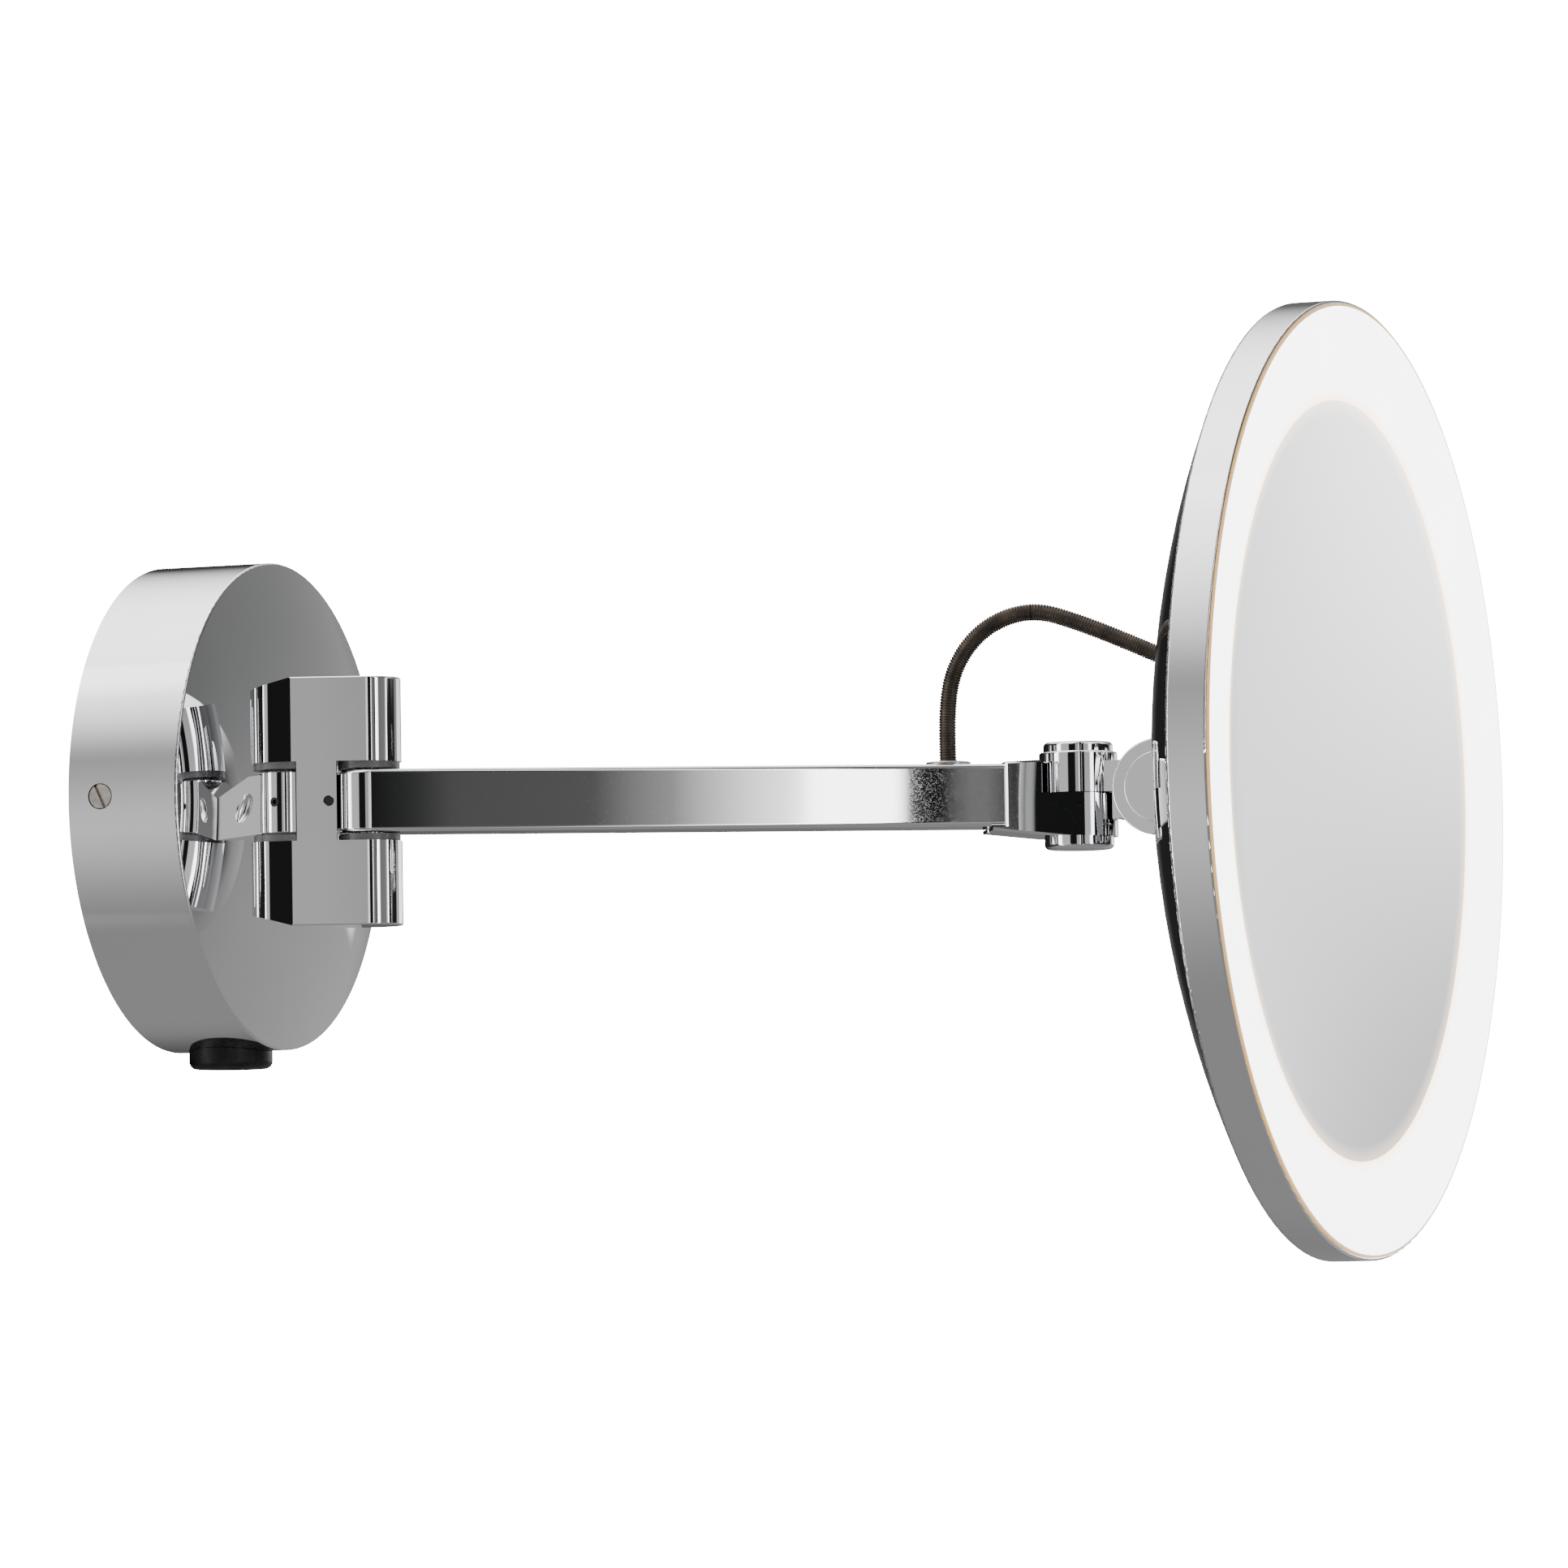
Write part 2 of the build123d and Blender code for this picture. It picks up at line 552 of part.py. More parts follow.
# ---------------------------------------------------------------- head
def on_head(shape):
    return Pos(0, TILT[1], TILT[2]) * shape


def conduit_end_frame():
    """Frame at the end of the conduit, Z along its last run into the head."""
    before, last = conduit_route()[-2:]
    return Plane(origin=last, z_dir=last - before).location


def head_back():
    shell = head_ball() & on_head(rod_x(HEAD_R, DOME_TOP - 5, BAND_REAR))
    shell -= head_ball(BACK_WALL) & on_head(rod_x(HEAD_R - BACK_WALL - 1, DOME_TOP, BAND_REAR + 1))
    lip_r = BAND_BORE_R - 0.1
    lip = rod_x(lip_r, BAND_REAR - 1.2, BAND_REAR + 3) - rod_x(lip_r - BACK_LIP_WALL, 0, 400)
    shell += on_head(lip) & head_ball()
    inner = TONGUE_THICK / 2 + CHEEK_GAP
    for y in (-inner - 1.9, inner + 1.9):
        for z in (-4.5, 4.5):
            shell -= TILT_FRAME * rod_x(0.9 + SEAT_GAP, 4, 20, y, z)
    return shell - conduit_end_frame() * Cylinder(3.0 + SEAT_GAP, 24)


def head_band():
    ring = rod_x(HEAD_R, BAND_REAR, HEAD_FRONT)
    ring = fillet(ring.edges().filter_by(GeomType.CIRCLE), BAND_ROUND)
    return on_head(ring - rod_x(BAND_BORE_R, 0, 400))


def head_tray():
    front = BAND_REAR - TRAY_SINK
    tray = rod_x(BAND_BORE_R - BACK_LIP_WALL - 0.3, front - TRAY_THICK, front)
    return on_head(tray - rod_x(TRAY_HOLE_R, 0, 400)) & head_ball(BACK_WALL + 0.3)


def face_x(radius, depth=0.0):
    """Where the dished face lies at a radius, or a surface that deep behind it."""
    ball = ball_radius(FACE_RIM_R, FACE_DEPTH)
    centre = HEAD_FRONT + FACE_RISE - FACE_DEPTH + ball
    return centre - sqrt((ball + depth) ** 2 - radius ** 2)


def face_arc(start, end, depth=0.0):
    middle = (start + end) / 2
    return ThreePointArc(*[(face_x(r, depth), 0, r) for r in (start, middle, end)])


def dished_plate(inner, outer):
    return on_head(turned([
        face_arc(outer, inner),
        Line((face_x(inner), 0, inner), (face_x(inner, FACE_THICK), 0, inner)),
        face_arc(inner, outer, FACE_THICK),
        Line((face_x(outer, FACE_THICK), 0, outer), (face_x(outer), 0, outer)),
    ]))


def mirror_glass():
    return dished_plate(0, MIRROR_R)


def diffuser_ring():
    return dished_plate(MIRROR_R + SEAT_GAP, FACE_RIM_R)


def mirror_pad():
    rear = BAND_REAR - TRAY_SINK
    outer = MIRROR_R - PAD_INSET
    inner = outer - PAD_WIDTH
    return on_head(turned([
        Line((rear, 0, inner), (rear, 0, outer)),
        Line((rear, 0, outer), (face_x(outer, FACE_THICK), 0, outer)),
        face_arc(outer, inner, FACE_THICK),
        Line((face_x(inner, FACE_THICK), 0, inner), (rear, 0, inner)),
    ]))


def front_seal():
    front = HEAD_FRONT + FACE_RISE
    ring = rod_x(BAND_BORE_R, front - FACE_THICK, front) - rod_x(FACE_RIM_R, 0, 400)
    return on_head(ring)


def led_board():
    ring = rod_x(BAND_BORE_R - LED_BOARD_GAP, BAND_REAR + LED_BOARD_REAR, BAND_REAR + LED_BOARD_FRONT)
    return on_head(ring - rod_x(MIRROR_R + 2, 0, 400))


def led_chips():
    radius = (HEAD_R + MIRROR_R) / 2
    depth = BAND_REAR + LED_BOARD_FRONT + LED_SIZE[0] / 2
    chips = []
    for i in range(LED_COUNT):
        chips.append(on_head(Rot(360 * i / LED_COUNT, 0, 0) * Pos(depth, 0, radius) * Box(*LED_SIZE)))
    return Compound(children=chips)


def head_ferrule():
    collar = Pos(0, 0, 1.0) * Cylinder(3.0, 7.0) - Cylinder(1.5, 30)
    rim = Pos(0, 0, -0.9) * Cylinder(3.4, 1.2) - Cylinder(CONDUIT_R + SEAT_GAP, 30)
    collar -= Pos(0, 0, -3.5) * Cylinder(CONDUIT_R + SEAT_GAP, 7.0)
    return conduit_end_frame() * (collar + rim)


# ---------------------------------------------------------------- conduit
def conduit_route():
    """Chosen points of the sprung conduit: along the line ferrule to head, and height."""
    start = (ARM_PIVOT[0] + CONDUIT_EXIT * ARM_DIR[0], ARM_PIVOT[1] + CONDUIT_EXIT * ARM_DIR[1])
    along = [(0.0, 5.88), (-0.3, 16.2), (1.5, 27.4), (8.5, 36.4), (19.5, 40.2), (31.0, 36.5),
             (45.0, 30.4), (57.0, 24.9)]
    reach_x = DOME_TOP - 0.8 - start[0]
    reach_y = TILT[1] - start[1]
    span = sqrt(reach_x ** 2 + reach_y ** 2)
    run = (reach_x / span, reach_y / span)
    return [Vector(start[0] + s * run[0], start[1] + s * run[1], z) for s, z in along]


def corner_radii(points):
    radii = []
    for a, b, c in zip(points, points[1:], points[2:]):
        turn = radians((b - a).get_angle(c - b))
        radii.append(0.45 * min((b - a).length, (c - b).length) / tan(turn / 2))
    return radii


def conduit_halves():
    points = conduit_route()
    radii = corner_radii(points)
    print("conduit radii", [round(r, 1) for r in radii])
    path = FilletPolyline(*points, radius=radii)
    section = Plane(origin=points[0], z_dir=points[1] - points[0]) * Circle(CONDUIT_R)
    tube = sweep(section, path=path)
    print("conduit length", round(path.length, 1), "volume ratio",
          round(tube.volume / (pi * CONDUIT_R ** 2 * path.length), 4))
    crown = points[CONDUIT_CROWN]
    heading = crown - points[CONDUIT_CROWN - 1]
    cut = Plane(origin=(crown.X, crown.Y, 0), x_dir=(0, 0, 1), z_dir=(heading.X, heading.Y, 0))
    return split(tube, bisect_by=cut, keep=Keep.BOTTOM), split(tube, bisect_by=cut, keep=Keep.TOP)


def write(name, shape):
    export_step(shape, os.path.join("parts", name + ".step"))


def main():
    os.makedirs("parts", exist_ok=True)
    makers = [
        wall_plate, wall_cover, cover_screws, cable_grommet, driver_housing, driver_lid,
        driver_screws, terminal_block, terminal_screws, switch_body, switch_nut, button_bezel,
        button_cap, wall_bracket, bracket_screws, bracket_grub_screw, link_body, link_washers,
        link_grub_screw, arm_bar, arm_lead, elbow_block, elbow_pin, elbow_cap_bottom,
        conduit_ferrule, ferrule_nut, swivel_knuckle, elbow_cap_top, elbow_washer, tilt_clevis,
        tilt_pin, tilt_caps, hinge_screws, head_back, head_band, head_tray, mirror_glass,
        mirror_pad, diffuser_ring, front_seal, led_board, led_chips, head_ferrule,
    ]
    for maker in makers:
        write(maker.__name__, maker())
    write("wall_pivot_pin", pivot_pin(0))
    write("arm_pivot_pin", pivot_pin(LINK_PITCH))
    lower, upper = conduit_halves()
    write("conduit_lower", lower)
    write("conduit_upper", upper)


main()
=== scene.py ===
import math

import bpy
import bmesh
from mathutils import Matrix, Vector


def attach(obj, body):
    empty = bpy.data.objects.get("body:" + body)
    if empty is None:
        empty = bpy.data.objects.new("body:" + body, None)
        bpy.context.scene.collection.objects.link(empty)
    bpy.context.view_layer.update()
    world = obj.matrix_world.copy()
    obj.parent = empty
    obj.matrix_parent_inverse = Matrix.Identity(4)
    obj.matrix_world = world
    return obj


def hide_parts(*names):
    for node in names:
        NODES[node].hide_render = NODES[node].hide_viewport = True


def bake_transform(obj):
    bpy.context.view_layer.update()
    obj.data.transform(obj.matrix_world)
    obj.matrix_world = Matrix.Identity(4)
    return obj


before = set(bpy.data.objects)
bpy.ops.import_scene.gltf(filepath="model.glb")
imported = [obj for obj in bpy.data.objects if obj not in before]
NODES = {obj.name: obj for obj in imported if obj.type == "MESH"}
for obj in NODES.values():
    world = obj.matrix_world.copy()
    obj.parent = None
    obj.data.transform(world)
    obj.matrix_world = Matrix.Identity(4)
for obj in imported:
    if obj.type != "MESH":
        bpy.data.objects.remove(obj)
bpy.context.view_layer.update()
MM = 0.001

# ---- camera -----------------------------------------------------------------
VIEW_TARGET = Vector((0.140, 0.0, 0.0))
VIEW_AZIMUTH = 21.84
VIEW_ELEVATION = -3.82
VIEW_ROLL = -0.86
VIEW_DISTANCE = 2.0
LENS = 204.07
SENSOR_WIDTH = 36.0
SHIFT = (0.0307, 0.0023)
FAR_LIMIT = 50.0

# ---- floor ------------------------------------------------------------------
FLOOR_SIZE = 10.0
FLOOR_PLACE = (0.14, 0.0, -0.62)

# ---- dished mirror, centre of its curve in millimetres ------------------------
DISH_CENTRE = (1036.9, 42.083, -1.2)
RING_INNER_RADIUS = 0.0853
SAME_SPOT = 1e-6
FRONT_FACING = 0.9

# ---- sprung conduit, in millimetres and degrees -------------------------------
ARM_PIVOT = (64.654, -33.502)
ARM_YAW = 28.0
CONDUIT_EXIT = 131.3                # from the arm's pivot to the ferrule
HEAD_ENTRY = (236.609, 42.083)
CONDUIT_DIAMETER = 4.0
WIRE_PITCH = 0.62
WIRE_BULGE = [(0.0, 0.87), (0.22, 0.975), (0.5, 1.0), (0.78, 0.975)]    # share of a turn, of the radius
TUBE_SIDES = 20
PATH_STEPS = 60
CURVE_STEPS = 48
CROWN_SHARE = 0.521                 # where the lower piece ends, as a share of the length
# distance along the run from the ferrule to the head, height
ROUTE = [(0.0, 5.88), (-0.3, 16.2), (1.5, 27.4), (8.5, 36.4), (19.5, 40.2), (31.0, 36.5),
         (45.0, 30.4), (57.0, 24.9)]


# ---------------------------------------------------------------- camera and light
def place_camera():
    azimuth, elevation = math.radians(VIEW_AZIMUTH), math.radians(VIEW_ELEVATION)
    roll = math.radians(VIEW_ROLL)
    outward = Vector((math.sin(azimuth) * math.cos(elevation),
                      -math.cos(azimuth) * math.cos(elevation), math.sin(elevation)))
    right = (-outward).cross(Vector((0, 0, 1))).normalized()
    up = right.cross(-outward)
    tilted_right = math.cos(roll) * right + math.sin(roll) * up
    tilted_up = -math.sin(roll) * right + math.cos(roll) * up
    turn = Matrix((tilted_right, tilted_up, outward)).transposed().to_4x4()
    lens = bpy.data.cameras.new("view_camera")
    lens.lens = LENS
    lens.sensor_width = SENSOR_WIDTH
    lens.shift_x, lens.shift_y = SHIFT
    lens.clip_end = FAR_LIMIT
    camera = bpy.data.objects.new("view_camera", lens)
    camera.matrix_world = Matrix.Translation(VIEW_TARGET + VIEW_DISTANCE * outward) @ turn
    bpy.context.scene.collection.objects.link(camera)
    bpy.context.scene.camera = camera


# light of the studio round the object: degrees from the near side towards the head, light
STUDIO_BANDS = [
    (-180, 0.42), (-165, 0.30), (-155, 0.10), (-150, 0.02), (-56, 0.012), (-53, 6.5), (-45, 6.5),
    (-38, 0.66), (-13, 0.66), (-10, 0.012), (10, 0.012), (12, 0.52), (15.61, 0.50), (15.65, 0.012),
    (50, 7.0), (56, 6.0), (60, 0.20), (96, 0.26), (108, 0.20), (130, 0.30), (180, 0.42),
]
# the narrow bands the flat face of the arm picks up
ARM_BANDS = [
    (24.0, 0.014), (31.8, 0.014), (32.1, 0.04), (32.35, 0.095), (33.25, 0.11), (33.75, 0.38),
    (34.1, 1.1), (34.55, 2.6), (34.68, 7.0), (35.2, 7.0), (35.27, 0.06), (35.32, 0.01),
    (35.54, 0.01), (35.6, 0.20), (35.87, 0.20), (35.9, 0.02), (36.0, 0.02), (36.04, 0.6), (37.0, 0.4),
    (39.0, 0.19), (46.0, 0.16), (46.5, 0.012), (49, 0.012), (50, 7.0),
]
BLUE_SHARE = 1.01
BACKDROP_LIGHT = 18.0
OVERHEAD_LIGHT = (3.6, 3.6, 3.65, 1)
UNDERFOOT_LIGHT = (0.27, 0.27, 0.275, 1)
WALL_SHADE = (0.02, 0.02, 0.022, 1)
# limits of each light's fading, as heights or as directions out from the wall, both -1 to 1
BAND_LIFT = (-0.2, 0.45, 1.1, 0.6)
OVERHEAD_HEIGHTS = (0.3, 1.02)
OVERHEAD_OUTWARD = (0.25, -0.1)
UNDERFOOT_HEIGHTS = (-0.12, -0.8)
WALL_OUTWARD = (-0.8, -0.92)
# the soft window the mirror shows: its sides in degrees, its ends and its fading in heights
WINDOW_SIDES = ((140, 146), (178, 172))
WINDOW_ENDS = ((-0.06, -0.02), (0.18, 0.14))
WINDOW_LIGHT = (0.01, 0.105, 3.6, 0.98)


def value_node(nodes, links, kind, a, b=None, c=None):
    node = nodes.new("ShaderNodeMath")
    node.operation = kind
    for i, source in enumerate((a, b, c)):
        if source is None:
            continue
        if isinstance(source, (int, float)):
            node.inputs[i].default_value = source
        else:
            links.new(source, node.inputs[i])
    return node.outputs[0]


def between(nodes, links, source, low, high, to_low=0.0, to_high=1.0):
    """A smooth step from one value to another while the source goes from low to high."""
    node = nodes.new("ShaderNodeMapRange")
    node.interpolation_type = "SMOOTHSTEP"
    links.new(source, node.inputs["Value"])
    limits = {"From Min": low, "From Max": high, "To Min": to_low, "To Max": to_high}
    for name, value in limits.items():
        node.inputs[name].default_value = value
    return node.outputs[0]


def mixed(nodes, links, factor, first, second, kind="MIX"):
    """A colour between two, each given as a colour or as another node's output."""
    node = nodes.new("ShaderNodeMix")
    node.data_type = "RGBA"
    node.blend_type = kind
    for label, source in (("Factor", factor), ("A", first), ("B", second)):
        if isinstance(source, bpy.types.NodeSocket):
            links.new(source, node.inputs[label])
        else:
            node.inputs[label].default_value = source
    return node.outputs["Result"]


def light_bands(nodes, links, share, bands, first, last):
    ramp = nodes.new("ShaderNodeValToRGB")
    links.new(share, ramp.inputs[0])
    stops = ramp.color_ramp.elements
    for degrees, light in bands[1:-1]:
        stops.new((degrees - first) / (last - first))
    for stop, (degrees, light) in zip(stops, bands):
        stop.position = (degrees - first) / (last - first)
        stop.color = (light, light, light * BLUE_SHARE, 1)
    return ramp.outputs["Color"]


def banded_light(nodes, links, turn, degrees):
    """The light at each direction round the object, with the arm's narrow bands put in."""
    share = value_node(nodes, links, "MULTIPLY_ADD", turn, 0.5 / math.pi, 0.5)
    whole = light_bands(nodes, links, share, STUDIO_BANDS, -180, 180)
    first, last = ARM_BANDS[0][0], ARM_BANDS[-1][0]
    span = last - first
    narrow = value_node(nodes, links, "MULTIPLY_ADD", degrees, 1 / span, -first / span)
    fine = light_bands(nodes, links, narrow, ARM_BANDS, first, last)
    past = value_node(nodes, links, "GREATER_THAN", degrees, first)
    before = value_node(nodes, links, "LESS_THAN", degrees, last)
    return mixed(nodes, links, value_node(nodes, links, "MULTIPLY", past, before), whole, fine)


def both_within(nodes, links, first, first_limits, second, second_limits):
    """One where both sources are past their limits, fading to nothing."""
    return value_node(nodes, links, "MULTIPLY", between(nodes, links, first, *first_limits),
                      between(nodes, links, second, *second_limits))


def window_mask(nodes, links, degrees, height):
    sides = both_within(nodes, links, degrees, WINDOW_SIDES[0], degrees, WINDOW_SIDES[1])
    ends = both_within(nodes, links, height, WINDOW_ENDS[0], height, WINDOW_ENDS[1])
    return value_node(nodes, links, "MULTIPLY", sides, ends)


def studio_world():
    world = bpy.data.worlds.new("studio")
    world.use_nodes = True
    bpy.context.scene.world = world
    nodes, links = world.node_tree.nodes, world.node_tree.links
    nodes.clear()
    place = nodes.new("ShaderNodeTexCoord")
    parts = nodes.new("ShaderNodeSeparateXYZ")
    links.new(place.outputs["Generated"], parts.inputs[0])
    outward, height = parts.outputs["X"], parts.outputs["Z"]
    minus_y = value_node(nodes, links, "MULTIPLY", parts.outputs["Y"], -1.0)
    turn = value_node(nodes, links, "ARCTAN2", outward, minus_y)
    degrees = value_node(nodes, links, "MULTIPLY", turn, 180 / math.pi)

    lift = between(nodes, links, height, *BAND_LIFT)
    light = mixed(nodes, links, 1.0, banded_light(nodes, links, turn, degrees), lift, "MULTIPLY")
    overhead = both_within(nodes, links, height, OVERHEAD_HEIGHTS, outward, OVERHEAD_OUTWARD)
    light = mixed(nodes, links, overhead, light, OVERHEAD_LIGHT)
    underfoot = between(nodes, links, height, *UNDERFOOT_HEIGHTS)
    light = mixed(nodes, links, underfoot, light, UNDERFOOT_LIGHT)
    wall_side = between(nodes, links, outward, *WALL_OUTWARD)
    light = mixed(nodes, links, wall_side, light, WALL_SHADE)
    window_light = between(nodes, links, height, *WINDOW_LIGHT)
    light = mixed(nodes, links, window_mask(nodes, links, degrees, height), light, window_light)

    studio = nodes.new("ShaderNodeBackground")
    links.new(light, studio.inputs["Color"])
    studio.inputs["Strength"].default_value = 1.0
    backdrop = nodes.new("ShaderNodeBackground")
    backdrop.inputs["Color"].default_value = (1, 1, 1, 1)
    backdrop.inputs["Strength"].default_value = BACKDROP_LIGHT
    pick = nodes.new("ShaderNodeMixShader")
    rays = nodes.new("ShaderNodeLightPath")
    links.new(rays.outputs["Is Camera Ray"], pick.inputs[0])
    links.new(studio.outputs[0], pick.inputs[1])
    links.new(backdrop.outputs[0], pick.inputs[2])
    out = nodes.new("ShaderNodeOutputWorld")
    links.new(pick.outputs[0], out.inputs["Surface"])


# ---------------------------------------------------------------- shared effects
def effect_group(name, inputs, outputs):
    group = bpy.data.node_groups.new(name, "ShaderNodeTree")
    for label, value in inputs:
        socket = group.interface.new_socket(label, in_out="INPUT", socket_type="NodeSocketFloat")
        socket.default_value = value
    for label in outputs:
        group.interface.new_socket(label, in_out="OUTPUT", socket_type="NodeSocketFloat")
    return group, group.nodes.new("NodeGroupInput"), group.nodes.new("NodeGroupOutput")


def haze_group():
    """Soft uneven haze: a value between Low and High that drifts over the surface."""
    inputs = [("Scale", 40.0), ("Low", 0.0), ("High", 1.0)]
    group, given, result = effect_group("haze", inputs, ["Value"])
    nodes, links = group.nodes, group.links
    place = nodes.new("ShaderNodeTexCoord")
    cloud = nodes.new("ShaderNodeTexNoise")
    links.new(place.outputs["Object"], cloud.inputs["Vector"])
    links.new(given.outputs["Scale"], cloud.inputs["Scale"])
    cloud.inputs["Detail"].default_value = 4.0
    spread = nodes.new("ShaderNodeMapRange")
    links.new(cloud.outputs["Fac"], spread.inputs["Value"])
    spread.inputs["From Min"].default_value = 0.3
    spread.inputs["From Max"].default_value = 0.7
    links.new(given.outputs["Low"], spread.inputs["To Min"])
    links.new(given.outputs["High"], spread.inputs["To Max"])
    links.new(spread.outputs[0], result.inputs["Value"])
    return group


def hairline_group():
    """Sparse wiping scratches in two directions."""
    group, given, result = effect_group("hairlines", [("Scale", 60.0), ("Share", 0.06)], ["Mask"])
    nodes, links = group.nodes, group.links
    place = nodes.new("ShaderNodeTexCoord")
    masks = []
    for turn, stretch in ((0.5, 26.0), (-0.9, 18.0)):
        mapping = nodes.new("ShaderNodeMapping")
        mapping.inputs["Rotation"].default_value = (0.3, turn, turn * 0.6)
        mapping.inputs["Scale"].default_value = (1.0, stretch, stretch)
        links.new(place.outputs["Object"], mapping.inputs["Vector"])
        grain = nodes.new("ShaderNodeTexNoise")
        links.new(mapping.outputs[0], grain.inputs["Vector"])
        links.new(given.outputs["Scale"], grain.inputs["Scale"])
        grain.inputs["Detail"].default_value = 2.0
        off = value_node(nodes, links, "SUBTRACT", grain.outputs["Fac"], 0.5)
        near = value_node(nodes, links, "ABSOLUTE", off)
        line = value_node(nodes, links, "DIVIDE", near, given.outputs["Share"])
        masks.append(value_node(nodes, links, "SUBTRACT", 1.0, line))
    both = value_node(nodes, links, "MAXIMUM", masks[0], masks[1])
    links.new(value_node(nodes, links, "MAXIMUM", both, 0.0), result.inputs["Mask"])
    return group


def ring_edge_group():
    """One at the edge between the mirror and the lit ring, falling off within Width."""
    inputs = [("Radius", RING_INNER_RADIUS), ("Width", 0.002)]
    group, given, result = effect_group("ring_edge", inputs, ["Mask"])
    nodes, links = group.nodes, group.links
    place = nodes.new("ShaderNodeTexCoord")
    shift = nodes.new("ShaderNodeVectorMath")
    shift.operation = "SUBTRACT"
    links.new(place.outputs["Object"], shift.inputs[0])
    shift.inputs[1].default_value = Vector(DISH_CENTRE) * MM
    flat = nodes.new("ShaderNodeVectorMath")
    flat.operation = "MULTIPLY"
    links.new(shift.outputs[0], flat.inputs[0])
    flat.inputs[1].default_value = (0, 1, 1)
    reach = nodes.new("ShaderNodeVectorMath")
    reach.operation = "LENGTH"
    links.new(flat.outputs[0], reach.inputs[0])
    off = value_node(nodes, links, "SUBTRACT", reach.outputs["Value"], given.outputs["Radius"])
    near = value_node(nodes, links, "ABSOLUTE", off)
    share = value_node(nodes, links, "DIVIDE", near, given.outputs["Width"])
    left = value_node(nodes, links, "SUBTRACT", 1.0, share)
    links.new(value_node(nodes, links, "MAXIMUM", left, 0.0), result.inputs["Mask"])
    return group


RING_EDGE = ring_edge_group()
HAZE = haze_group()
HAIRLINES = hairline_group()


class Finish:
    """A material with one Principled shader and the shared effects."""

    def __init__(self, name, colour, metallic=0.0, roughness=0.4, coat=0.0, specular=0.5):
        self.material = bpy.data.materials.new(name)
        self.material.use_nodes = True
        self.material.diffuse_color = (*colour, 1)
        self.nodes = self.material.node_tree.nodes
        self.links = self.material.node_tree.links
        self.shader = self.nodes["Principled BSDF"]
        self.shader.inputs["Base Color"].default_value = (*colour, 1)
        self.shader.inputs["Metallic"].default_value = metallic
        self.shader.inputs["Roughness"].default_value = roughness
        self.shader.inputs["Coat Weight"].default_value = coat
        self.shader.inputs["Specular IOR Level"].default_value = specular

    def group(self, tree, **values):
        node = self.nodes.new("ShaderNodeGroup")
        node.node_tree = tree
        for label, value in values.items():
            node.inputs[label].default_value = value
        return node.outputs[0]

    def uneven_gloss(self, low, high, scale):
        value = self.group(HAZE, Scale=scale, Low=low, High=high)
        self.links.new(value, self.shader.inputs["Roughness"])

    def patches(self, scale, first, second):
        """Two colours drifting into each other."""
        level = self.group(HAZE, Scale=scale, Low=0.0, High=1.0)
        return mixed(self.nodes, self.links, level, (*first, 1), (*second, 1))

    def tint(self, scale, first, second):
        self.links.new(self.patches(scale, first, second), self.shader.inputs["Base Color"])

    def warm_edge(self, width, inside, edge):
        """A colour that turns to the edge's colour where the ring meets the mirror."""
        mask = self.group(RING_EDGE, Radius=RING_INNER_RADIUS, Width=width)
        return mixed(self.nodes, self.links, mask, inside, edge)

    def shine(self, colour, strength):
        self.links.new(colour, self.shader.inputs["Emission Color"])
        self.shader.inputs["Emission Strength"].default_value = strength

    def bump(self, height, depth, strength=1.0):
        bump = self.nodes.new("ShaderNodeBump")
        bump.inputs["Distance"].default_value = depth
        bump.inputs["Strength"].default_value = strength
        self.links.new(height, bump.inputs["Height"])
        self.links.new(bump.outputs["Normal"], self.shader.inputs["Normal"])

    def noise(self, scale, detail=3.0, stretch=(1, 1, 1)):
        place = self.nodes.new("ShaderNodeTexCoord")
        mapping = self.nodes.new("ShaderNodeMapping")
        mapping.inputs["Scale"].default_value = stretch
        self.links.new(place.outputs["Object"], mapping.inputs["Vector"])
        noise = self.nodes.new("ShaderNodeTexNoise")
        noise.inputs["Scale"].default_value = scale
        noise.inputs["Detail"].default_value = detail
        self.links.new(mapping.outputs[0], noise.inputs["Vector"])
        return noise.outputs["Fac"]


def polished_chrome(name="polished_chrome", dull=0.0, wiped=0.0):
    finish = Finish(name, (0.90, 0.90, 0.905), metallic=1.0)
    haze = finish.group(HAZE, Scale=35.0, Low=0.006 + dull, High=0.016 + dull)
    lines = finish.group(HAIRLINES, Scale=70.0, Share=0.012)
    worn = value_node(finish.nodes, finish.links, "MULTIPLY", lines, 0.012 + wiped)
    total = value_node(finish.nodes, finish.links, "ADD", haze, worn)
    finish.links.new(total, finish.shader.inputs["Roughness"])
    finish.bump(finish.noise(18.0, 1.0), 0.00004, 0.25)
    finish.tint(22.0, (0.90, 0.90, 0.905), (0.86, 0.865, 0.875))
    return finish.material


def plated_steel():
    finish = Finish("plated_steel", (0.62, 0.62, 0.64), metallic=1.0)
    finish.uneven_gloss(0.22, 0.42, 150.0)
    finish.bump(finish.noise(900.0), 0.00003, 0.4)
    return finish.material


def satin_nickel():
    finish = Finish("satin_nickel", (0.40, 0.395, 0.375), metallic=1.0)
    finish.uneven_gloss(0.26, 0.40, 220.0)
    finish.bump(finish.noise(700.0), 0.00003, 0.4)
    return finish.material


def screw_nickel():
    finish = Finish("screw_nickel", (0.62, 0.58, 0.52), metallic=1.0)
    finish.uneven_gloss(0.18, 0.34, 320.0)
    finish.tint(420.0, (0.62, 0.58, 0.52), (0.42, 0.38, 0.33))
    return finish.material


def black_oxide():
    finish = Finish("black_oxide", (0.05, 0.05, 0.055), metallic=0.8)
    finish.uneven_gloss(0.28, 0.45, 300.0)
    return finish.material


